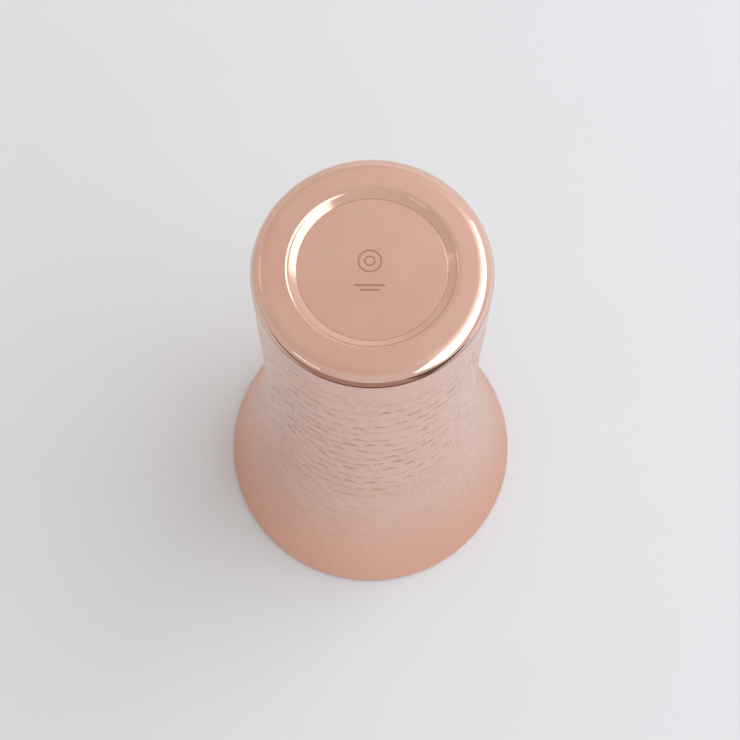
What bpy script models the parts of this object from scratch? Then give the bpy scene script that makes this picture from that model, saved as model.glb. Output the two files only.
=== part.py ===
"""Flared double-walled tumbler, standing mouth-down. Metres, +Z up.

The origin is the middle of the mouth, on the surface that the lip rests on. Every piece is turned
about Z. A profile is a list of (radius, height) points that runs down the outer side of its piece.
"""

import math

import bpy
from mathutils import Vector
from mathutils.geometry import interpolate_bezier

OBJECT_NAME = "flared_tumbler"

# Overall sizes
HEIGHT = 0.126
MOUTH_RADIUS = 0.036
FOOT_RADIUS = 0.02270
SHEET = 0.0006
GAP = 0.0003
TURN_STEPS = 48
AXIS_MERGE = 0.00005
SHARP_ANGLE = 35

# Flare of the outer wall: a straight taper near the foot, then one curve out to the lip
WALL_FOOT_RADIUS = 0.02250
TAPER_END_RADIUS = 0.02283
TAPER_END_HEIGHT = 0.1044
LIP_SLOPE = math.radians(31)
LIP_PULL = 0.0290
TAPER_PULL = 0.0226
FLARE_POINTS = 12

# Rolled drinking lip
LIP_RADIUS = 0.0009
LIP_RETURN = 0.0015
LIP_LAND = 0.0004
LIP_ARC_POINTS = 4

# Base cap: its rounded edge starts level with the top (90 degrees) and stops at the seam
EDGE_RADIUS = 0.0032
SEAM_ANGLE = 15
EDGE_ARC_POINTS = 6

# Sunken centre of the base: a flat floor, a sloping ledge, a hollow curve and a rounded crest
FLOOR_RADIUS = 0.0140
LEDGE_WIDTH = 0.0013
LEDGE_SLOPE = 30
STEP_SLOPE = 50
HOLLOW_RADIUS = 0.0006
CREST_RADIUS = 0.0009
RECESS_ARC_POINTS = 3

# Seat that the shell turns inward under the base cap, and the shoulder below the cap's end
SEAT_INNER_RADIUS = 0.0180
SEAT_END_ANGLE = 7
SEAT_ARC_POINTS = 5
SHOULDER_GAP = 0.00035
SHOULDER_THICKNESS = 0.0004

# Liner
AIR_GAP = 0.0022
AIR_GAP_FULL_HEIGHT = 0.040
LINER_TOP = 0.1195
LINER_CORNER_RADIUS = 0.006
LINER_CORNER_POINTS = 5

# Base colours and roughness of the three finishes
HAMMERED_COPPER = ((0.80, 0.50, 0.40), 0.35)
TIN_LINING = ((0.78, 0.77, 0.74), 0.33)
BASE_COPPER = ((0.80, 0.47, 0.36), 0.30)

EDGE_CENTRE = Vector((FOOT_RADIUS - EDGE_RADIUS, HEIGHT - EDGE_RADIUS))
SEAM_RISE = EDGE_RADIUS * math.sin(math.radians(SEAM_ANGLE))
SHOULDER_HEIGHT = EDGE_CENTRE.y + SEAM_RISE - SHOULDER_GAP
LIP_CENTRE = Vector((MOUTH_RADIUS - LIP_RADIUS, LIP_RADIUS))
LIP_NORMAL = Vector((math.cos(LIP_SLOPE), math.sin(LIP_SLOPE)))
LIP_UPWARD = Vector((-math.sin(LIP_SLOPE), math.cos(LIP_SLOPE)))
LIP_INSIDE_RADIUS = LIP_RADIUS - SHEET
AIR_GAP_AT_LIP = 2 * LIP_INSIDE_RADIUS


def arc(centre, radius, start_degrees, end_degrees, count):
    """Points along an arc, its first and last included; 0 degrees points outward and 90 up."""
    points = []
    for index in range(count):
        degrees = start_degrees + (end_degrees - start_degrees) * index / (count - 1)
        angle = math.radians(degrees)
        points.append(centre + radius * Vector((math.cos(angle), math.sin(angle))))
    return points


def smooth_rise(value):
    """0 below 0, 1 above 1, and a smooth step between."""
    value = min(max(value, 0.0), 1.0)
    return value * value * (3 - 2 * value)


def wall_line():
    """The outer wall's outside, from the shoulder at the foot down to the lip."""
    foot = Vector((WALL_FOOT_RADIUS, SHOULDER_HEIGHT))
    taper_end = Vector((TAPER_END_RADIUS, TAPER_END_HEIGHT))
    taper_pull = (taper_end - foot).normalized() * TAPER_PULL
    lip = LIP_CENTRE + LIP_RADIUS * LIP_NORMAL
    lip_pull = LIP_PULL * LIP_UPWARD
    curve = interpolate_bezier(taper_end, taper_end + taper_pull, lip + lip_pull, lip, FLARE_POINTS)
    return [foot] + [point.to_2d() for point in curve]


def wall_normals(line):
    """Unit normals of the wall line, pointing away from the axis."""
    normals = []
    for index in range(len(line)):
        before = line[max(index - 1, 0)]
        after = line[min(index + 1, len(line) - 1)]
        along = (after - before).normalized()
        normals.append(Vector((-along.y, along.x)))
    return normals


def inset(line, depths):
    """The wall line moved inward by its own depth at each point."""
    return [p - n * depth for p, n, depth in zip(line, wall_normals(line), depths)]


def outer_shell_profile():
    """The seat under the base cap, the hammered wall and the rolled lip, as one sheet."""
    outside = wall_line()
    inside = inset(outside, [SHEET] * len(outside))
    inside[0].y -= SHOULDER_THICKNESS
    seat_radius = EDGE_RADIUS - SHEET - GAP
    seat_height = EDGE_CENTRE.y + seat_radius

    seat_top = [Vector((SEAT_INNER_RADIUS, seat_height))]
    seat_top += arc(EDGE_CENTRE, seat_radius, 90, SEAT_END_ANGLE, SEAT_ARC_POINTS)

    slope = math.degrees(LIP_SLOPE)
    lip_bottom = [LIP_CENTRE + Vector((side * LIP_LAND / 2, -LIP_RADIUS)) for side in (1, -1)]
    lip_outside = arc(LIP_CENTRE, LIP_RADIUS, slope, -60, LIP_ARC_POINTS)[1:] + lip_bottom
    lip_outside += arc(LIP_CENTRE, LIP_RADIUS, -120, slope - 180, LIP_ARC_POINTS)
    lip_end = LIP_CENTRE - LIP_RADIUS * LIP_NORMAL + LIP_RETURN * LIP_UPWARD
    lip_end_back = LIP_CENTRE - LIP_INSIDE_RADIUS * LIP_NORMAL + LIP_RETURN * LIP_UPWARD
    lip_inside = arc(LIP_CENTRE, LIP_INSIDE_RADIUS, slope - 180, slope, LIP_ARC_POINTS)[:-1]

    seat_under = arc(EDGE_CENTRE, seat_radius - SHEET, 0, 90, SEAT_ARC_POINTS)
    seat_under.append(Vector((SEAT_INNER_RADIUS, seat_height - SHEET)))

    outer_side = seat_top + outside + lip_outside + [lip_end]
    inner_side = [lip_end_back] + lip_inside + inside[::-1] + seat_under
    return outer_side + inner_side


def inner_cup_profile():
    """The liner: a floor with a rounded corner and a wall that ends above the rolled lip."""
    line = [point for point in wall_line() if point.y < LINER_TOP - LINER_CORNER_RADIUS]
    line.insert(0, Vector((WALL_FOOT_RADIUS, LINER_TOP - LINER_CORNER_RADIUS)))
    depths = []
    for point in line:
        rise = smooth_rise(point.y / AIR_GAP_FULL_HEIGHT)
        depths.append(SHEET + AIR_GAP_AT_LIP + (AIR_GAP - AIR_GAP_AT_LIP) * rise)
    outside = inset(line, depths)
    inside = inset(line, [depth + SHEET for depth in depths])

    end = LIP_CENTRE + (LIP_RETURN + GAP) * LIP_UPWARD
    outside[-1] = end - LIP_INSIDE_RADIUS * LIP_NORMAL
    inside[-1] = end - LIP_RADIUS * LIP_NORMAL

    corner = Vector((outside[0].x - LINER_CORNER_RADIUS, outside[0].y))
    top = [Vector((0.0, LINER_TOP))]
    top += arc(corner, LINER_CORNER_RADIUS, 90, 0, LINER_CORNER_POINTS)[:-1]
    under = arc(corner, LINER_CORNER_RADIUS - SHEET, 0, 90, LINER_CORNER_POINTS)[1:]
    under.append(Vector((0.0, LINER_TOP - SHEET)))
    return top + outside + inside[::-1] + under


def recess_profile():
    """The top of the sunken centre, from the axis out to the flat standing ring."""
    ledge = math.radians(LEDGE_SLOPE)
    step = math.radians(STEP_SLOPE)
    ledge_end = Vector((LEDGE_WIDTH, LEDGE_WIDTH * math.tan(ledge)))
    hollow_centre = ledge_end + HOLLOW_RADIUS * Vector((-math.sin(ledge), math.cos(ledge)))
    hollow = arc(hollow_centre, HOLLOW_RADIUS, LEDGE_SLOPE - 90, STEP_SLOPE - 90, RECESS_ARC_POINTS)
    crest_centre = hollow[-1] - CREST_RADIUS * Vector((-math.sin(step), math.cos(step)))
    crest = arc(crest_centre, CREST_RADIUS, STEP_SLOPE + 90, 90, RECESS_ARC_POINTS)
    curve = [Vector((0.0, 0.0))] + hollow + crest[1:]
    shift = Vector((FLOOR_RADIUS - curve[0].x, HEIGHT - curve[-1].y))
    curve = [point + shift for point in curve]
    return [Vector((0.0, curve[0].y))] + curve


def base_cap_profile():
    """The sunken centre, the standing ring and the rounded edge down to the seam."""
    top = recess_profile()
    under = [Vector((point.x, point.y - SHEET)) for point in reversed(top)]
    edge = arc(EDGE_CENTRE, EDGE_RADIUS, 90, SEAM_ANGLE, EDGE_ARC_POINTS)
    edge_inside = arc(EDGE_CENTRE, EDGE_RADIUS - SHEET, SEAM_ANGLE, 90, EDGE_ARC_POINTS)
    return top + edge + edge_inside + under


def metal(name, colour, roughness):
    """A metal of one colour and roughness."""
    material = bpy.data.materials.new(name)
    material.use_nodes = True
    shader = material.node_tree.nodes["Principled BSDF"]
    shader.inputs["Base Color"].default_value = (*colour, 1.0)
    shader.inputs["Metallic"].default_value = 1.0
    shader.inputs["Roughness"].default_value = roughness
    return material


def turned(name, profile, closed, material, collection):
    """One piece turned about Z from its profile; a closed profile makes a ring."""
    points = [(point.x, 0.0, point.y) for point in profile]
    edges = [(index, index + 1) for index in range(len(points) - 1)]
    if closed:
        edges.append((len(points) - 1, 0))
    mesh = bpy.data.meshes.new(name)
    mesh.from_pydata(points, edges, [])
    piece = bpy.data.objects.new(name, mesh)
    collection.objects.link(piece)

    screw = piece.modifiers.new("turn", "SCREW")
    screw.axis = "Z"
    screw.angle = math.tau
    screw.steps = TURN_STEPS
    screw.render_steps = TURN_STEPS
    screw.use_merge_vertices = True
    screw.merge_threshold = AXIS_MERGE

    graph = bpy.context.evaluated_depsgraph_get()
    solid = bpy.data.meshes.new_from_object(piece.evaluated_get(graph))
    solid.name = name
    piece.modifiers.clear()
    piece.data = solid
    bpy.data.meshes.remove(mesh)
    solid.shade_smooth()
    solid.set_sharp_from_angle(angle=math.radians(SHARP_ANGLE))
    solid.materials.append(material)
    return piece


def main():
    for item in list(bpy.data.objects):
        bpy.data.objects.remove(item, do_unlink=True)
    collection = bpy.data.collections.new(OBJECT_NAME)
    bpy.context.scene.collection.children.link(collection)

    hammered_copper = metal("hammered_copper", *HAMMERED_COPPER)
    tin_lining = metal("tin_lining", *TIN_LINING)
    base_copper = metal("base_copper", *BASE_COPPER)

    turned("outer_shell", outer_shell_profile(), True, hammered_copper, collection)
    turned("inner_cup", inner_cup_profile(), False, tin_lining, collection)
    turned("base_cap", base_cap_profile(), False, base_copper, collection)


main()
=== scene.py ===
"""Looks of the flared hammered copper tumbler, standing mouth-down on a pale floor.

Every piece is turned about Z. A profile is a list of (radius, height) points in metres.
"""

import math

import bmesh
import bpy
import numpy as np
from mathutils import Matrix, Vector
from mathutils.geometry import interpolate_bezier


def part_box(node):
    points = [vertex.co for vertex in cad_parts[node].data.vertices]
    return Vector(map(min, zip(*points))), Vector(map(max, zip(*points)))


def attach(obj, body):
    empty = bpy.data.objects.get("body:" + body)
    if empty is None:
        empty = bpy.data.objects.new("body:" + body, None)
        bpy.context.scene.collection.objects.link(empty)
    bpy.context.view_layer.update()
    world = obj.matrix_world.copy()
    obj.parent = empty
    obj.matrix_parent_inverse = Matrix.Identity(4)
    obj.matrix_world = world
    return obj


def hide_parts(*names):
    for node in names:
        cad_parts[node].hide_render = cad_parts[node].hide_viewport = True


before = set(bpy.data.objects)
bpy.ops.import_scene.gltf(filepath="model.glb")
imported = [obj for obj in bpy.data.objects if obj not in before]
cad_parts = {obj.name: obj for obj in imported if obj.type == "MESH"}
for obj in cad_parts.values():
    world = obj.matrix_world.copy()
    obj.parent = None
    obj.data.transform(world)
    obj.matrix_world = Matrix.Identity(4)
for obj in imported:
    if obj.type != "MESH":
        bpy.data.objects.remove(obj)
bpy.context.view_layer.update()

# ---------------------------------------------------------------- sizes

# Overall sizes; the first three are read from the CAD solids
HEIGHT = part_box("base_cap")[1].z
MOUTH_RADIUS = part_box("outer_shell")[1].x
LINER_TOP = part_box("inner_cup")[1].z
FOOT_RADIUS = 0.02270
SHEET = 0.0006
GAP = 0.0003

# Flare of the outer wall: a straight taper near the foot, then one curve out to the lip. The pulls
# are the lengths of the curve's handles.
WALL_FOOT_RADIUS = 0.02256
TAPER_END_RADIUS = 0.02283
TAPER_END_HEIGHT = 0.1044
LIP_SLOPE = math.radians(31)
LIP_PULL = 0.0290
TAPER_PULL = 0.0226

# Rolled drinking lip; its round stops 13 degrees short of straight down on each side of the land
LIP_RADIUS = 0.0009
LIP_RETURN = 0.0015
LIP_LAND = 0.0004
LIP_LAND_TURN = 13

# Base cap: its rounded edge starts level with the top (90 degrees) and stops at the seam
EDGE_RADIUS = 0.0032
SEAM_ANGLE = 15

# Seat that the shell turns inward under the base cap, and the rounded shoulder below the seam
SEAT_INNER_RADIUS = 0.0180
SEAT_END_ANGLE = 7
SHOULDER_GAP = 0.00030
SHOULDER_THICKNESS = 0.0004
SHOULDER_ROUND = 0.00025

# Sunken centre of the base: a floor with a fine groove round it, a ledge, a hollow and a crest
FLOOR_RADIUS = 0.0140
GROOVE_WIDTH = 0.00014
GROOVE_DEPTH = 0.000017
LEDGE_WIDTH = 0.0013
LEDGE_SLOPE = 30
STEP_SLOPE = 50
HOLLOW_RADIUS = 0.0006
CREST_RADIUS = 0.0009

# Plain stamp in the middle of the floor: two rings over two bars
RINGS_CENTRE = Vector((-0.00045, 0.0015))
RING_RADII = (0.0021, 0.0009)
RING_WIDTH = 0.00034
BARS_TOP = Vector((-0.00045, -0.0033))
BAR_LENGTHS = (0.0056, 0.0036)
BAR_PITCH = 0.0009
BAR_WIDTH = 0.00038
STAMP_DEPTH = 0.00012

# Liner
AIR_GAP = 0.0022
AIR_GAP_FULL_HEIGHT = 0.040
LINER_CORNER_RADIUS = 0.006

# Hammer marks: rows of shallow round bowls, each row shifted by half a mark. They have their true
# width where the wall's radius is MARK_WIDTH_RADIUS, and stretch with the wall elsewhere. The spread
# and the limits of their depth are in parts of MARK_DEPTH.
MARKS_AROUND = 34
ROW_PITCH = 0.00468
MARK_DEPTH = 0.00027
MARK_DEPTH_SPREAD = 0.16
MARK_DEPTH_LIMITS = (0.6, 1.4)
MARK_CURVE_RADIUS = 0.0135
MARK_WIDTH_RADIUS = 0.0232
MARK_SHIFT_AROUND = 0.00027
MARK_SHIFT_ALONG = 0.00028
RIDGE_WIDTH = 0.00008
STRETCH_SOFTENING = 0.10
RANDOM_SEED = 7

# Creases: the crisp line where the hammer's edge bit in, on the foot's side of a mark, drawn as a bump
# and as painted dark shade. The facing limits are cosines of the angle between that side and the way to
# the foot.
CREASE_REACH = 0.0008
CREASE_FADE = 0.0004
CREASE_FACING = (0.80, 0.98)
CRISPNESS = 0.65
CRISPNESS_SPREAD = 0.40
MM_PER_METRE = 1000
TINY = 1e-6

# Distances over which the marks grow, from the foot and from the lip
MARKS_FROM_FOOT = (0.0045, 0.0105)
MARKS_FROM_LIP = (0.0020, 0.0300)

# Distances from the foot over which the creases start and stop
CREASES_START = (0.006, 0.022)
CREASES_STOP = (0.068, 0.084)

# Rows of the wall, by distance along it from the foot. The shoulder's are in parts of its round, and
# the last row, at WALL_LENGTH, stands for the lip end.
SHOULDER_ROWS = (0.0, 0.04, 0.13, 0.3, 0.55, 1.0)
FINE_ROW = 0.00042
FINE_ROWS_END = 0.080
COARSE_ROW = 0.00086
WALL_LENGTH = 0.12374
FLARE_POINTS = 800
INSIDE_ROWS = 13
COLUMNS_PER_MARK = 11

# Points on the other outlines, and columns round the other pieces
SEAT_POINTS = 7
SEAT_UNDER_POINTS = 4
LIP_POINTS = 9
LIP_RETURN_POINTS = 6
LIP_INSIDE_POINTS = 5
LINER_ROWS = 90
LINER_CORNER_POINTS = 12
LINER_CORNER_UNDER_POINTS = 16
LINER_ROW_RADIUS = 0.004
LINER_FLOOR_ROWS = 4
LINER_COLUMNS = 192
FLOOR_ROW_RADII = (0.0, 0.008, 0.0125)
HOLLOW_POINTS = 7
CREST_POINTS = 14
RING_ROWS = 5
EDGE_POINTS = 21
EDGE_INSIDE_POINTS = 6
BASE_COLUMNS = 288
BASE_SHARP_ANGLE = 6
STAMP_COLUMNS = 64

EDGE_CENTRE = Vector((FOOT_RADIUS - EDGE_RADIUS, HEIGHT - EDGE_RADIUS))
SEAM_HEIGHT = EDGE_CENTRE.y + EDGE_RADIUS * math.sin(math.radians(SEAM_ANGLE))
SHOULDER_HEIGHT = SEAM_HEIGHT - SHOULDER_GAP
LIP_CENTRE = Vector((MOUTH_RADIUS - LIP_RADIUS, LIP_RADIUS))
LIP_NORMAL = Vector((math.cos(LIP_SLOPE), math.sin(LIP_SLOPE)))
LIP_UPWARD = Vector((-math.sin(LIP_SLOPE), math.cos(LIP_SLOPE)))
LIP_INSIDE_RADIUS = LIP_RADIUS - SHEET
AIR_GAP_AT_LIP = 2 * LIP_INSIDE_RADIUS

# ---------------------------------------------------------------- colours and finishes

COPPER = (0.810, 0.475, 0.365)
COPPER_WARM = (0.840, 0.470, 0.340)
COPPER_PINK = (0.820, 0.505, 0.400)
COPPER_POLISHED = (0.875, 0.595, 0.490)
CREASE_PAINTED_SHADE = (0.540, 0.285, 0.200)
COPPER_SHADE_AND_SPECKS = (0.600, 0.310, 0.225)
SEAM_PAINTED_SHADE = (0.100, 0.040, 0.028)
TIN_PALE = (0.800, 0.785, 0.760)
TIN_DARK = (0.700, 0.685, 0.665)
FLOOR_PALE = (0.725, 0.715, 0.722)
FLOOR_GREY = (0.715, 0.705, 0.712)

# Reflections at a grazing view: untinted on the clean wall, and coppery in a crease
WHITE = (1.0, 1.0, 1.0)
CREASE_TINT = (0.58, 0.40, 0.34)

# Clear lacquer over the hammered wall
LACQUER = 0.60
LACQUER_ROUGHNESS = 0.24
LACQUER_IOR = 1.5

# Hammered wall: heights over which the copper is painted warmer towards the lip, standing in for the
# weaker white reflection there; depths of the painted shade in the gap under the shoulder's top; and
# distances of a crease's painted dark shade from its middle
WARM_HEIGHTS = (0.006, 0.034)
SEAM_SHADE_DEPTHS = (0.00022, 0.00010)
CREASE_LINE_MM = (0.08, 0.28)
WALL_ROUGHNESS = (0.27, 0.31)
# Share of the ridges' smoother finish and of their painted highlight
RIDGE_POLISH_AND_PAINTED_HIGHLIGHT = 0.28
RIDGE_SMOOTHING = 0.10

# Base: heights above the seam of the painted shade in its gap. The stamp gets painted shade below these
# depths under the floor of the recess, and inside these radii.
SEAM_LINE = (0.00006, 0.00018)
STAMP_SHADE_DEPTHS = (0.00009, 0.00004)
STAMP_SHADE_RADII = (0.0115, 0.0120)

# Base: the edge was polished a little off centre, and its border is ragged with fine grain
POLISH_OFFSET = (0.014, 0.012, 0.0)
POLISH_START = 0.0016
POLISH_BLEND = 0.00045
POLISH_RAGGED = 0.0014
POLISH_SMOOTHING = 0.24
BASE_ROUGHNESS = (0.28, 0.32)
SPECK_SHADE = 0.03

# Base: the side of the recess is smoother, from just inside the floor's edge to just past the crest
SLOPE_START = (-0.0002, 0.0)
SLOPE_END = (-0.0001, 0.0003)
SLOPE_SHINE = 0.4
SLOPE_SMOOTHING = 0.16
# Painted shade along the fine groove round the floor, and the distances over which it fades
GROOVE_SHADE = 0.7
GROOVE_SHADE_WIDTH = (0.00004, 0.00014)

TIN_ROUGHNESS = (0.28, 0.38)

# Middle stretches of a noise, which are spread over a range of colour or roughness
NARROW = (0.35, 0.65)
BROAD = (0.3, 0.7)

# ---------------------------------------------------------------- light and camera

# Sky: its colour behind the cup and on the left blends in over a range of nearness to a direction
SKY_TOP = (0.710, 0.685, 0.670)
SKY_FAR = (0.850, 0.860, 0.870)
SKY_LEFT = (0.640, 0.600, 0.575)
FAR_DIRECTION = (0.60, 0.80, 0.0)
FAR_NEARNESS = (0.45, 0.95)
LEFT_DIRECTION = (-0.95, -0.30, 0.0)
LEFT_NEARNESS = (0.20, 0.85)

# Card in front of the cup: brown on the left and nearly black on the right
CARD_BROWN = (0.360, 0.260, 0.230)
CARD_DARK = (0.100, 0.060, 0.050)
CARD_PLACE = (-0.10, -0.60, 0.075)
CARD_SIZE = (1.1, 0.95, 1.0)
CARD_TILT = math.radians(-8)
CARD_RIGHTWARD = (1.1, 0.33, 0.0)
CARD_DARKENING = (0.33, 0.39)

# Lights
WINDOW_BLUE = (0.68, 0.84, 0.97)
COOL = (0.8, 0.9, 1.0)
WARM = (1.0, 0.98, 0.95)
LAMP_DISTANCE = 1.2

GROUND_SIZE = 6.0

# Long lens on a stand in front of the cup; the angles are in degrees
CAMERA_AIM = Vector((-0.0003, 0.0, 0.0642))
CAMERA_DISTANCE = 0.3317
CAMERA_DEPRESSION = 72.07
CAMERA_ROLL = 0.32
CAMERA_LENS_MM = 72.46
CAMERA_SENSOR_MM = 36.0
CAMERA_CLIP = 0.01


# ---------------------------------------------------------------- profiles


def arc(centre, radius, start_degrees, end_degrees, count):
    """Points along an arc, its first and last included; 0 degrees points outward and 90 up."""
    angles = np.radians(np.linspace(start_degrees, end_degrees, count))
    return [centre + radius * Vector((math.cos(angle), math.sin(angle))) for angle in angles]


def straight(start, end, count):
    """Points between two ends, both left out."""
    return [start.lerp(end, index / (count + 1)) for index in range(1, count + 1)]


def smooth_rise(value):
    """0 below 0, 1 above 1, and a smooth step between. Takes numbers and arrays."""
    value = np.clip(value, 0.0, 1.0)
    return value * value * (3 - 2 * value)


def grow(value, limits):
    """0 before the first limit, 1 past the second, and a smooth step between."""
    start, end = limits
    return smooth_rise((value - start) / (end - start))


def wall_line(stations):
    """The outer wall's outside, from the shoulder at the foot down to the lip.

    stations are distances along it from the foot; the last one stands for the lip end.
    """
    foot = Vector((WALL_FOOT_RADIUS, SHOULDER_HEIGHT))
    taper_end = Vector((TAPER_END_RADIUS, TAPER_END_HEIGHT))
    taper_pull = (taper_end - foot).normalized() * TAPER_PULL
    lip = LIP_CENTRE + LIP_RADIUS * LIP_NORMAL
    lip_pull = LIP_PULL * LIP_UPWARD
    curve = interpolate_bezier(taper_end, taper_end + taper_pull, lip + lip_pull, lip, FLARE_POINTS)
    points = np.array([tuple(foot)] + [(point.x, point.y) for point in curve])
    along = np.concatenate([[0.0], np.cumsum(np.hypot(*np.diff(points, axis=0).T))])
    stations = np.asarray(stations) * along[-1] / stations[-1]
    radii = np.interp(stations, along, points[:, 0])
    into_round = np.clip(1 - stations / SHOULDER_ROUND, 0.0, 1.0)
    radii -= SHOULDER_ROUND * (1 - np.sqrt(1 - into_round**2))
    heights = np.interp(stations, along, points[:, 1])
    return [Vector(pair) for pair in zip(radii, heights)], stations


def line_normals(line):
    """Unit normals of a line that runs downward, pointing away from the axis."""
    points = np.array([tuple(point) for point in line])
    along = np.gradient(points, axis=0)
    along /= np.linalg.norm(along, axis=1)[:, None]
    return [Vector(pair) for pair in np.stack([-along[:, 1], along[:, 0]], axis=1)]


def inset(line, depths):
    """The line moved inward by its own depth at each point."""
    return [p - n * float(depth) for p, n, depth in zip(line, line_normals(line), depths)]


def recess_profile():
    """The top of the sunken centre, from the axis out to the flat standing ring."""
    ledge = math.radians(LEDGE_SLOPE)
    step = math.radians(STEP_SLOPE)
    ledge_end = Vector((LEDGE_WIDTH, LEDGE_WIDTH * math.tan(ledge)))
    hollow_centre = ledge_end + HOLLOW_RADIUS * Vector((-math.sin(ledge), math.cos(ledge)))
    hollow = arc(hollow_centre, HOLLOW_RADIUS, LEDGE_SLOPE - 90, STEP_SLOPE - 90, HOLLOW_POINTS)
    crest_centre = hollow[-1] - CREST_RADIUS * Vector((-math.sin(step), math.cos(step)))
    crest = arc(crest_centre, CREST_RADIUS, STEP_SLOPE + 90, 90, CREST_POINTS)
    curve = [Vector((0.0, 0.0))] + hollow + crest[1:]
    shift = Vector((FLOOR_RADIUS - curve[0].x, HEIGHT - curve[-1].y))
    curve = [point + shift for point in curve]
    floor = curve[0].y + GROOVE_DEPTH
    groove_start = Vector((FLOOR_RADIUS - GROOVE_WIDTH, floor))
    return [Vector((radius, floor)) for radius in FLOOR_ROW_RADII] + [groove_start] + curve


RECESS = recess_profile()
RECESS_FLOOR = RECESS[0].y
CREST_END = RECESS[-1].x


# ---------------------------------------------------------------- meshes


def turn_grid(profile, columns):
    """Points of a profile turned about Z: an array of (profile points, columns, 3)."""
    radii = np.array([point.x for point in profile])[:, None]
    heights = np.array([point.y for point in profile])[:, None]
    turns = np.linspace(0.0, math.tau, columns, endpoint=False)[None, :]
    axes = np.broadcast_arrays(radii * np.cos(turns), radii * np.sin(turns), heights)
    return np.stack(axes, axis=2)


def grid_object(name, grid, closed, attributes):
    """A closed mesh from a turned grid.

    A closed profile joins its last row to its first. An open one starts and ends on the axis, where
    each end row becomes one point. attributes maps a name to one value for each grid point.
    """
    rows, columns = grid.shape[:2]
    index = np.arange(rows * columns).reshape(rows, columns)
    if not closed:
        index[0, :] = index[0, 0]
        index[-1, :] = index[-1, 0]
    lower = np.roll(index, -1, axis=0) if closed else index[1:]
    upper = index if closed else index[:-1]
    corners = np.stack([upper, lower, np.roll(lower, -1, axis=1), np.roll(upper, -1, axis=1)], axis=2)
    faces = [list(dict.fromkeys(quad)) for quad in corners.reshape(-1, 4).tolist()]

    mesh = bpy.data.meshes.new(name)
    mesh.from_pydata(grid.reshape(-1, 3).tolist(), [], faces)
    for attribute_name, values in attributes.items():
        layer = mesh.attributes.new(attribute_name, "FLOAT", "POINT")
        layer.data.foreach_set("value", np.ascontiguousarray(values, dtype=np.float32).reshape(-1))

    cleaned = bmesh.new()
    cleaned.from_mesh(mesh)
    loose = [vertex for vertex in cleaned.verts if not vertex.link_faces]
    bmesh.ops.delete(cleaned, geom=loose, context="VERTS")
    if cleaned.calc_volume(signed=True) < 0:
        bmesh.ops.reverse_faces(cleaned, faces=cleaned.faces)
    cleaned.to_mesh(mesh)
    cleaned.free()
    mesh.shade_smooth()

    piece = bpy.data.objects.new(name, mesh)
    bpy.context.scene.collection.objects.link(piece)
    return piece


def hammer_marks(turns, along):
    """Depth of the hammer marks, nearness to a ridge between two marks, and the creases.

    Every mark is a shallow round bowl about a centre on a staggered lattice. Each centre and depth is
    a little irregular. Where bowls overlap, the deeper one shows. A crease comes back as the distance
    from it in millimetres, and as how strongly it is marked.
    """
    random = np.random.default_rng(RANDOM_SEED)
    row_count = int(along[-1] / ROW_PITCH) + 3  # enough for a neighbour past the last row
    shape = (row_count, MARKS_AROUND)
    shift_around = random.normal(0.0, MARK_SHIFT_AROUND, shape)
    shift_along = random.normal(0.0, MARK_SHIFT_ALONG, shape)
    depth_of = MARK_DEPTH * np.clip(random.normal(1.0, MARK_DEPTH_SPREAD, shape), *MARK_DEPTH_LIMITS)
    crispness = np.clip(random.normal(CRISPNESS, CRISPNESS_SPREAD, shape), 0.0, 1.0)

    turn_step = math.tau / MARKS_AROUND
    row_place = along[:, None] / ROW_PITCH
    place_around = turns[None, :] / turn_step
    grid_shape = (len(along), len(turns))
    lowest = np.full(grid_shape, np.inf)
    next_lowest = np.full(grid_shape, np.inf)
    crease_offset = np.full(grid_shape, CREASE_REACH)
    crease_strength = np.zeros(grid_shape)
    for row_offset in (-1, 0, 1):
        row = np.clip(np.round(row_place).astype(int) + row_offset, 0, row_count - 1)
        stagger = 0.5 * (row % 2)
        nearest = np.round(place_around - stagger)
        for column_offset in (-1, 0, 1):
            column = (nearest + column_offset).astype(int) % MARKS_AROUND
            rows = np.broadcast_to(row, column.shape)
            away = place_around - (nearest + column_offset + stagger)
            across = away * turn_step * MARK_WIDTH_RADIUS - shift_around[rows, column]
            down = (row_place - row) * ROW_PITCH - shift_along[rows, column]
            reach = np.hypot(across, down)
            depth = depth_of[rows, column]
            bowl = reach**2 / (2 * MARK_CURVE_RADIUS) - depth
            rim = np.sqrt(2 * MARK_CURVE_RADIUS * depth)
            facing = grow(-down / np.maximum(reach, TINY), CREASE_FACING)
            offset = np.clip(reach - rim, -CREASE_REACH, CREASE_REACH)
            close = smooth_rise((CREASE_REACH - np.abs(offset)) / CREASE_FADE)
            strength = close * facing * crispness[rows, column]
            nearer = (np.abs(offset) < np.abs(crease_offset)) & (strength > 0)
            crease_offset = np.where(nearer, offset, crease_offset)
            crease_strength = np.where(nearer, strength, crease_strength)
            next_lowest = np.minimum(next_lowest, np.maximum(lowest, bowl))
            lowest = np.minimum(lowest, bowl)
    ridge = np.exp(-(next_lowest - lowest) / RIDGE_WIDTH)
    return -np.minimum(lowest, 0.0), ridge, MM_PER_METRE * crease_offset, crease_strength


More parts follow.
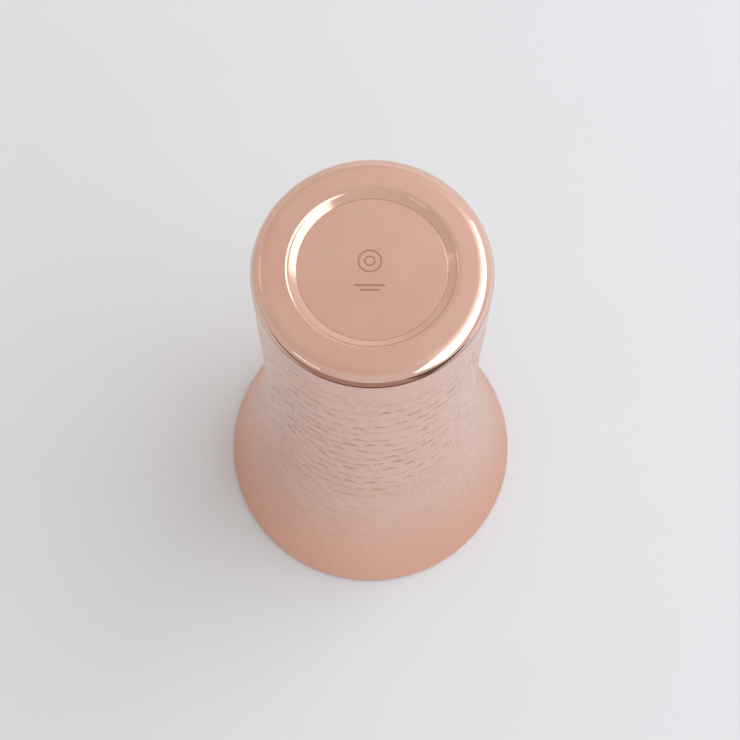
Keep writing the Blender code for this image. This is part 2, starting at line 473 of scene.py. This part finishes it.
def outer_shell():
    """The hammered sleeve, with its seat under the base cap and its rolled lip."""
    shoulder = SHOULDER_ROUND * np.array(SHOULDER_ROWS)
    fine = np.arange(2 * SHOULDER_ROUND, FINE_ROWS_END, FINE_ROW)
    coarse = np.arange(FINE_ROWS_END, WALL_LENGTH, COARSE_ROW)
    outside, along = wall_line(np.concatenate([shoulder, fine, coarse, [WALL_LENGTH]]))
    seat_radius = EDGE_RADIUS - SHEET - GAP
    seat_height = EDGE_CENTRE.y + seat_radius
    seat = [Vector((SEAT_INNER_RADIUS, seat_height))]
    seat += arc(EDGE_CENTRE, seat_radius, 90, SEAT_END_ANGLE, SEAT_POINTS)
    seat += straight(seat[-1], outside[0], 1)

    slope = math.degrees(LIP_SLOPE)
    lip = arc(LIP_CENTRE, LIP_RADIUS, slope, LIP_LAND_TURN - 90, LIP_POINTS)[1:]
    lip += [LIP_CENTRE + Vector((side * LIP_LAND / 2, -LIP_RADIUS)) for side in (1, -1)]
    lip += arc(LIP_CENTRE, LIP_RADIUS, -LIP_LAND_TURN - 90, slope - 180, LIP_RETURN_POINTS)
    lip.append(LIP_CENTRE - LIP_RADIUS * LIP_NORMAL + LIP_RETURN * LIP_UPWARD)
    lip.append(LIP_CENTRE - LIP_INSIDE_RADIUS * LIP_NORMAL + LIP_RETURN * LIP_UPWARD)
    lip += arc(LIP_CENTRE, LIP_INSIDE_RADIUS, slope - 180, slope, LIP_INSIDE_POINTS)[:-1]

    sparse, _ = wall_line(np.linspace(0.0, WALL_LENGTH, INSIDE_ROWS))
    inside = inset(sparse, [SHEET] * len(sparse))
    inside[0].y -= SHOULDER_THICKNESS
    under = arc(EDGE_CENTRE, seat_radius - SHEET, 0, 90, SEAT_UNDER_POINTS)
    under.append(Vector((SEAT_INNER_RADIUS, seat_height - SHEET)))

    columns = MARKS_AROUND * COLUMNS_PER_MARK
    grid = turn_grid(seat + outside + lip + inside[::-1] + under, columns)
    turns = np.linspace(0.0, math.tau, columns, endpoint=False)
    depth, ridge, crease_offset, crease = hammer_marks(turns, along)
    radii = np.array([point.x for point in outside])
    stretch = (radii - radii.min()) / (radii.max() - radii.min())
    strength = grow(along, MARKS_FROM_FOOT) * grow(along[-1] - along, MARKS_FROM_LIP)
    strength *= 1 - STRETCH_SOFTENING * stretch
    remaining = 1 - grow(along, CREASES_STOP)
    depth *= strength[:, None]
    ridge *= (strength * remaining)[:, None]
    crease *= (grow(along, CREASES_START) * remaining)[:, None]

    normals = np.array([tuple(normal) for normal in line_normals(outside)])
    rows = slice(len(seat), len(seat) + len(outside))
    for axis, turn in enumerate((np.cos(turns), np.sin(turns))):
        grid[rows, :, axis] -= normals[:, :1] * turn[None, :] * depth
    grid[rows, :, 2] -= normals[:, 1:] * depth

    attributes = {}
    for name, values in (("ridge", ridge), ("crease_offset", crease_offset), ("crease", crease)):
        attributes[name] = np.zeros(grid.shape[:2])
        attributes[name][rows] = values
    return grid_object("hammered_shell", grid, True, attributes)


def inner_cup():
    """The smooth liner, closed by its floor, standing off the shell by the air gap."""
    outside, _ = wall_line(np.linspace(0.0, WALL_LENGTH, LINER_ROWS))
    outside = [point for point in outside if point.y < LINER_TOP - LINER_CORNER_RADIUS]
    outside.insert(0, Vector((WALL_FOOT_RADIUS, LINER_TOP - LINER_CORNER_RADIUS)))
    heights = np.array([point.y for point in outside])
    widening = (AIR_GAP - AIR_GAP_AT_LIP) * smooth_rise(heights / AIR_GAP_FULL_HEIGHT)
    depths = SHEET + AIR_GAP_AT_LIP + widening
    back = inset(outside, depths)
    drink_side = inset(outside, depths + SHEET)
    end = LIP_CENTRE + (LIP_RETURN + GAP) * LIP_UPWARD
    back[-1] = end - LIP_INSIDE_RADIUS * LIP_NORMAL
    drink_side[-1] = end - LIP_RADIUS * LIP_NORMAL

    corner = Vector((back[0].x - LINER_CORNER_RADIUS, back[0].y))
    profile = [Vector((0.0, LINER_TOP)), Vector((LINER_ROW_RADIUS, LINER_TOP))]
    profile += arc(corner, LINER_CORNER_RADIUS, 90, 0, LINER_CORNER_POINTS)[:-1]
    profile += back + drink_side[::-1]
    profile += arc(corner, LINER_CORNER_RADIUS - SHEET, 0, 90, LINER_CORNER_UNDER_POINTS)[1:]
    centre = Vector((0.0, LINER_TOP - SHEET))
    profile += straight(profile[-1], centre, LINER_FLOOR_ROWS) + [centre]
    return grid_object("cup_liner", turn_grid(profile, LINER_COLUMNS), False, {})


def ring_cutter(centre, radius):
    """A flat ring, STAMP_DEPTH deep below the floor of the recess and as high above it."""
    turns = np.linspace(0.0, math.tau, STAMP_COLUMNS, endpoint=False)
    tool = bmesh.new()
    loops = []
    for loop_radius, height in (
        (radius - RING_WIDTH / 2, RECESS_FLOOR - STAMP_DEPTH),
        (radius + RING_WIDTH / 2, RECESS_FLOOR - STAMP_DEPTH),
        (radius + RING_WIDTH / 2, RECESS_FLOOR + STAMP_DEPTH),
        (radius - RING_WIDTH / 2, RECESS_FLOOR + STAMP_DEPTH),
    ):
        loop = []
        for turn in turns:
            x = centre.x + loop_radius * math.cos(turn)
            y = centre.y + loop_radius * math.sin(turn)
            loop.append(tool.verts.new((x, y, height)))
        loops.append(loop)
    for index, loop in enumerate(loops):
        after = loops[(index + 1) % len(loops)]
        for column in range(STAMP_COLUMNS):
            following = (column + 1) % STAMP_COLUMNS
            tool.faces.new((loop[column], loop[following], after[following], after[column]))
    return tool


def bar_cutter(centre, length):
    """A flat bar, STAMP_DEPTH deep below the floor of the recess and as high above it."""
    tool = bmesh.new()
    bmesh.ops.create_cube(tool, size=1.0)
    bmesh.ops.scale(tool, vec=(length, BAR_WIDTH, 2 * STAMP_DEPTH), verts=tool.verts)
    bmesh.ops.translate(tool, vec=(centre.x, centre.y, RECESS_FLOOR), verts=tool.verts)
    return tool


def engrave(piece):
    """Sinks the plain stamp, two rings over two bars, into the floor of the recess."""
    tools = [ring_cutter(RINGS_CENTRE, radius) for radius in RING_RADII]
    for index, length in enumerate(BAR_LENGTHS):
        tools.append(bar_cutter(BARS_TOP - Vector((0.0, index * BAR_PITCH)), length))
    for tool in tools:
        bmesh.ops.recalc_face_normals(tool, faces=tool.faces)
        mesh = bpy.data.meshes.new("cutter")
        tool.to_mesh(mesh)
        tool.free()
        cutter = bpy.data.objects.new("cutter", mesh)
        bpy.context.scene.collection.objects.link(cutter)
        cut = piece.modifiers.new("stamp", "BOOLEAN")
        cut.operation = "DIFFERENCE"
        cut.solver = "EXACT"
        cut.object = cutter
        graph = bpy.context.evaluated_depsgraph_get()
        carved = bpy.data.meshes.new_from_object(piece.evaluated_get(graph))
        piece.modifiers.clear()
        piece.data = carved
        bpy.data.objects.remove(cutter)


def base_cap():
    """The pressed base: the stamped recess, the standing ring and the rounded edge."""
    ring = straight(RECESS[-1], Vector((EDGE_CENTRE.x, HEIGHT)), RING_ROWS)
    edge = arc(EDGE_CENTRE, EDGE_RADIUS, 90, SEAM_ANGLE, EDGE_POINTS)
    edge_inside = arc(EDGE_CENTRE, EDGE_RADIUS - SHEET, SEAM_ANGLE, 90, EDGE_INSIDE_POINTS)
    under = [Vector((point.x, point.y - SHEET)) for point in reversed(RECESS[1::2])]
    under.append(Vector((0.0, RECESS_FLOOR - SHEET)))
    profile = RECESS + ring + edge + edge_inside + under
    plate = grid_object("base_plate", turn_grid(profile, BASE_COLUMNS), False, {})
    engrave(plate)
    plate.data.shade_smooth()
    plate.data.set_sharp_from_angle(angle=math.radians(BASE_SHARP_ANGLE))
    return plate


# ---------------------------------------------------------------- materials


class Graph:
    """Adds nodes to one node tree. position is a point on a surface, or a direction in the sky."""

    def __init__(self, tree, coordinates):
        self.tree = tree
        self.position = self.add("TexCoord").outputs[coordinates]

    def add(self, kind):
        return self.tree.nodes.new("ShaderNode" + kind)

    def link(self, source, target):
        self.tree.links.new(source, target)

    def toward(self, direction):
        """How far the position lies in a direction, times that direction's length."""
        node = self.add("VectorMath")
        node.operation = "DOT_PRODUCT"
        self.link(self.position, node.inputs[0])
        node.inputs[1].default_value = direction
        return node.outputs["Value"]

    def remap(self, value, old, new):
        """The value taken smoothly from the old range to the new one, and held past both ends."""
        node = self.add("MapRange")
        node.interpolation_type = "SMOOTHSTEP"
        self.link(value, node.inputs["Value"])
        node.inputs["From Min"].default_value = old[0]
        node.inputs["From Max"].default_value = old[1]
        node.inputs["To Min"].default_value = new[0]
        node.inputs["To Max"].default_value = new[1]
        return node.outputs["Result"]

    def rise(self, value, start, end):
        return self.remap(value, (start, end), (0.0, 1.0))

    def fall(self, value, start, end):
        return self.remap(value, (start, end), (1.0, 0.0))

    def mix_colour(self, factor, first, second):
        node = self.add("Mix")
        node.data_type = "RGBA"
        self.link(factor, node.inputs["Factor"])
        # Inputs 6 and 7 are the two colours, and output 2 is their mix
        for socket, value in zip((node.inputs[6], node.inputs[7]), (first, second)):
            if isinstance(value, tuple):
                socket.default_value = (*value, 1.0)
            else:
                self.link(value, socket)
        return node.outputs[2]


class Shader(Graph):
    """Builds one node material around a Principled shader."""

    def __init__(self, name):
        self.material = bpy.data.materials.new(name)
        self.material.use_nodes = True
        super().__init__(self.material.node_tree, "Object")
        self.principled = self.tree.nodes["Principled BSDF"]
        split = self.add("SeparateXYZ")
        self.link(self.position, split.inputs["Vector"])
        self.x, self.y, self.height = split.outputs

    def set(self, **values):
        """Sets the shader's own sockets; an underscore stands for the space in a name."""
        for name, value in values.items():
            self.principled.inputs[name.replace("_", " ")].default_value = value

    def drive(self, **sources):
        """Links nodes to the shader's own sockets, named in the same way."""
        for name, source in sources.items():
            self.link(source, self.principled.inputs[name.replace("_", " ")])

    def noise(self, scale, detail):
        node = self.add("TexNoise")
        node.inputs["Scale"].default_value = scale
        node.inputs["Detail"].default_value = detail
        self.link(self.position, node.inputs["Vector"])
        return node.outputs["Fac"]

    def rings(self, scale, detail):
        """Noise that changes along a profile only, so that it runs round the axis as rings."""
        node = self.add("TexNoise")
        node.noise_dimensions = "1D"
        node.inputs["Scale"].default_value = scale
        node.inputs["Detail"].default_value = detail
        self.link(self.math("ADD", self.radius(), self.height), node.inputs["W"])
        return node.outputs["Fac"]

    def attribute(self, name):
        node = self.add("Attribute")
        node.attribute_name = name
        return node.outputs["Fac"]

    def math(self, operation, first, second=0.0, third=0.0):
        node = self.add("Math")
        node.operation = operation
        for socket, value in zip(node.inputs, (first, second, third)):
            if isinstance(value, (int, float)):
                socket.default_value = value
            else:
                self.link(value, socket)
        return node.outputs[0]

    def radius(self):
        """Distance of the shaded point from the Z axis."""
        x_squared = self.math("MULTIPLY", self.x, self.x)
        return self.math("SQRT", self.math("MULTIPLY_ADD", self.y, self.y, x_squared))

    def bump(self, height, distance, strength, normal=None):
        node = self.add("Bump")
        node.inputs["Distance"].default_value = distance
        node.inputs["Strength"].default_value = strength
        self.link(height, node.inputs["Height"])
        if normal is not None:
            self.link(normal, node.inputs["Normal"])
        return node.outputs["Normal"]


def satin_copper():
    """Blasted, lacquered copper, pinker patches; painted warmth at the lip, ridge highlight, crease and
    seam shade.
    """
    shader = Shader("hammered_copper")
    shader.set(Metallic=1.0, Coat_IOR=LACQUER_IOR, Coat_Roughness=LACQUER_ROUGHNESS)
    patches = shader.rise(shader.noise(scale=110.0, detail=3.0), *NARROW)
    copper = shader.mix_colour(patches, COPPER, COPPER_PINK)
    # Painted: the copper turns warmer towards the lip, standing in for the weaker white reflection there
    near_lip = shader.fall(shader.height, *WARM_HEIGHTS)
    copper = shader.mix_colour(near_lip, copper, COPPER_WARM)
    # Painted shade in the gap just under the shoulder's top, where the base cap overhangs the wall
    near_seam = shader.rise(shader.height, *(SHOULDER_HEIGHT - depth for depth in SEAM_SHADE_DEPTHS))
    copper = shader.mix_colour(near_seam, copper, SEAM_PAINTED_SHADE)
    # Ridges between marks: smoother, and tinted toward the polished colour as a painted highlight
    ridge = shader.math("MULTIPLY", shader.attribute("ridge"), RIDGE_POLISH_AND_PAINTED_HIGHLIGHT)
    copper = shader.mix_colour(ridge, copper, COPPER_POLISHED)
    # Painted shade: the copper is darkened along each crease, where the hammer's step would lie in shade
    distance = shader.math("ABSOLUTE", shader.attribute("crease_offset"))
    line = shader.fall(distance, *CREASE_LINE_MM)
    crease = shader.math("MULTIPLY", shader.attribute("crease"), line)
    copper = shader.mix_colour(crease, copper, CREASE_PAINTED_SHADE)

    mottle = shader.remap(shader.noise(scale=900.0, detail=2.0), BROAD, WALL_ROUGHNESS)
    waves = shader.noise(scale=220.0, detail=0.5)
    grain = shader.noise(scale=3000.0, detail=1.0)
    normal = shader.bump(crease, distance=0.00003, strength=1.0)
    normal = shader.bump(waves, distance=0.00003, strength=0.5, normal=normal)
    normal = shader.bump(grain, distance=0.00002, strength=0.05, normal=normal)
    shader.drive(
        Base_Color=copper,
        Coat_Weight=shader.math("MULTIPLY_ADD", crease, -LACQUER, LACQUER),
        Specular_Tint=shader.mix_colour(crease, WHITE, CREASE_TINT),
        Roughness=shader.math("MULTIPLY_ADD", ridge, -RIDGE_SMOOTHING, mottle),
        Normal=normal,
    )
    return shader.material


def base_copper():
    """Satin ring and floor, a smoother slope to the recess, and an edge polished to a ragged border."""
    shader = Shader("base_copper")
    shader.set(Metallic=1.0)
    radius = shader.radius()
    ragged = shader.math("MULTIPLY_ADD", shader.noise(scale=5200.0, detail=3.0), POLISH_RAGGED, radius)
    ragged = shader.math("ADD", ragged, shader.toward(POLISH_OFFSET))
    border = EDGE_CENTRE.x + POLISH_START
    polish = shader.rise(ragged, border, border + POLISH_BLEND)
    slope_start = shader.rise(radius, *(FLOOR_RADIUS + past for past in SLOPE_START))
    slope_end = shader.fall(radius, *(CREST_END + past for past in SLOPE_END))
    slope = shader.math("MULTIPLY", slope_start, slope_end)

    patches = shader.rise(shader.noise(scale=90.0, detail=3.0), *NARROW)
    copper = shader.mix_colour(patches, COPPER, COPPER_PINK)
    shine = shader.math("MULTIPLY_ADD", slope, SLOPE_SHINE, polish)
    copper = shader.mix_colour(shine, copper, COPPER_POLISHED)
    # Painted shade in the seam's gap, just above the seam
    seam = shader.fall(shader.height, *(SEAM_HEIGHT + above for above in SEAM_LINE))
    copper = shader.mix_colour(seam, copper, SEAM_PAINTED_SHADE)
    # Painted shade along the fine groove round the floor
    from_groove = shader.math("ABSOLUTE", shader.math("SUBTRACT", radius, FLOOR_RADIUS))
    groove = shader.remap(from_groove, GROOVE_SHADE_WIDTH, (GROOVE_SHADE, 0.0))
    copper = shader.mix_colour(groove, copper, COPPER_SHADE_AND_SPECKS)
    # Painted shade in the sunken stamp
    sunken = shader.fall(shader.height, *(RECESS_FLOOR - depth for depth in STAMP_SHADE_DEPTHS))
    inside = shader.fall(radius, *STAMP_SHADE_RADII)
    copper = shader.mix_colour(shader.math("MULTIPLY", sunken, inside), copper, COPPER_SHADE_AND_SPECKS)
    specks = shader.remap(shader.noise(scale=2200.0, detail=1.0), NARROW, (0.0, SPECK_SHADE))
    copper = shader.mix_colour(specks, copper, COPPER_SHADE_AND_SPECKS)

    satin = shader.remap(shader.noise(scale=1200.0, detail=2.0), BROAD, BASE_ROUGHNESS)
    burnished = shader.math("MULTIPLY_ADD", slope, -SLOPE_SMOOTHING, satin)
    polished = shader.math("MULTIPLY_ADD", polish, -POLISH_SMOOTHING, burnished)
    shader.drive(Base_Color=copper, Roughness=polished)
    return shader.material


def tin_lining():
    """Satin tin plate with faint turning lines round the axis."""
    shader = Shader("tin_lining")
    shader.set(Metallic=1.0)
    clouds = shader.rise(shader.noise(scale=120.0, detail=4.0), *BROAD)
    mottle = shader.remap(shader.noise(scale=700.0, detail=4.0), BROAD, TIN_ROUGHNESS)
    lines = shader.rings(scale=3500.0, detail=3.0)
    shader.drive(
        Base_Color=shader.mix_colour(clouds, TIN_PALE, TIN_DARK),
        Roughness=mottle,
        Normal=shader.bump(lines, distance=0.00003, strength=0.35),
    )
    return shader.material


def floor_material():
    """Pale matt floor with faint clouds."""
    shader = Shader("pale_floor")
    shader.set(Roughness=0.9, Specular_IOR_Level=0.2)
    clouds = shader.rise(shader.noise(scale=14.0, detail=3.0), *BROAD)
    shader.drive(Base_Color=shader.mix_colour(clouds, FLOOR_GREY, FLOOR_PALE))
    return shader.material


def card_material():
    """Matt card, brown on the left and nearly black on the right."""
    shader = Shader("dark_card")
    shader.set(Roughness=1.0)
    rightward = shader.rise(shader.toward(CARD_RIGHTWARD), *CARD_DARKENING)
    shader.drive(Base_Color=shader.mix_colour(rightward, CARD_BROWN, CARD_DARK))
    return shader.material


# ---------------------------------------------------------------- stage


def add_floor():
    bpy.ops.mesh.primitive_plane_add(size=GROUND_SIZE)
    floor = bpy.context.object
    floor.name = "floor"
    floor.data.materials.append(floor_material())


def add_dark_card():
    """A card in front of the cup, past the picture, that only shows as a reflection in metal."""
    bpy.ops.mesh.primitive_plane_add(size=1.0, location=CARD_PLACE)
    card = bpy.context.object
    card.name = "dark_card"
    card.scale = CARD_SIZE
    card.rotation_euler = (CARD_TILT, 0.0, 0.0)
    card.visible_camera = False
    card.visible_diffuse = False
    card.visible_shadow = False
    card.data.materials.append(card_material())


def add_softbox(name, toward, size, radiance, colour, turn=0):
    """A rectangular light in the direction toward from the cup, facing it."""
    width, height = size
    light = bpy.data.lights.new(name, "AREA")
    light.shape = "RECTANGLE"
    light.size = width
    light.size_y = height
    light.energy = radiance * math.pi * width * height
    light.color = colour
    lamp = bpy.data.objects.new(name, light)
    direction = Vector(toward).normalized()
    lamp.location = Vector((0.0, 0.0, HEIGHT / 2)) + direction * LAMP_DISTANCE
    lamp.rotation_euler = direction.to_track_quat("Z", "Y").to_euler()
    lamp.rotation_euler.rotate_axis("Z", math.radians(turn))
    bpy.context.scene.collection.objects.link(lamp)
    return lamp


def add_lights():
    """A large cool window on the right, small ones elsewhere, and a fill that only matt surfaces see."""
    add_softbox("right_window", (0.70, -0.12, 0.64), (2.4, 0.90), 1.6, WINDOW_BLUE, turn=27)
    add_softbox("left_window", (-0.685, 0.306, 0.661), (0.26, 0.18), 1.0, COOL)
    add_softbox("front_strip", (-0.668, -0.658, 0.352), (0.42, 0.06), 1.5, COOL)
    add_softbox("upper_window", (0.20, 0.44, 0.875), (0.40, 0.12), 0.8, COOL)
    fill = add_softbox("right_fill", (0.80, 0.32, 0.52), (1.4, 1.0), 1.1, WARM)
    fill.visible_glossy = False


def add_world():
    """Even soft light, brighter low down behind the cup and dimmer low down on its left."""
    world = bpy.data.worlds.new("studio")
    world.use_nodes = True
    sky = Graph(world.node_tree, "Generated")
    far = sky.rise(sky.toward(FAR_DIRECTION), *FAR_NEARNESS)
    left = sky.rise(sky.toward(LEFT_DIRECTION), *LEFT_NEARNESS)
    colour = sky.mix_colour(left, sky.mix_colour(far, SKY_TOP, SKY_FAR), SKY_LEFT)
    sky.link(colour, world.node_tree.nodes["Background"].inputs["Color"])
    bpy.context.scene.world = world


def add_camera():
    """A long lens on a stand in front of the cup, looking steeply down on its base."""
    depression = math.radians(CAMERA_DEPRESSION)
    camera = bpy.data.cameras.new("camera")
    camera.sensor_width = CAMERA_SENSOR_MM
    camera.lens = CAMERA_LENS_MM
    camera.clip_start = CAMERA_CLIP
    holder = bpy.data.objects.new("camera", camera)
    toward = Vector((0.0, -math.cos(depression), math.sin(depression)))
    holder.location = CAMERA_AIM + CAMERA_DISTANCE * toward
    holder.rotation_mode = "XYZ"
    holder.rotation_euler = (math.radians(90) - depression, 0.0, 0.0)
    holder.rotation_euler.rotate_axis("Z", math.radians(CAMERA_ROLL))
    bpy.context.scene.collection.objects.link(holder)
    bpy.context.scene.camera = holder


def add_pieces():
    for piece, node, slot, material in (
        (outer_shell(), "outer_shell", "hammered_copper", satin_copper()),
        (inner_cup(), "inner_cup", "tin_lining", tin_lining()),
        (base_cap(), "base_cap", "base_copper", base_copper()),
    ):
        piece.data.materials.append(material)
        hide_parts(node)
        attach(piece, "root")


add_camera()
add_pieces()
add_floor()
add_dark_card()
add_world()
add_lights()
bpy.context.scene.view_settings.view_transform = "Standard"
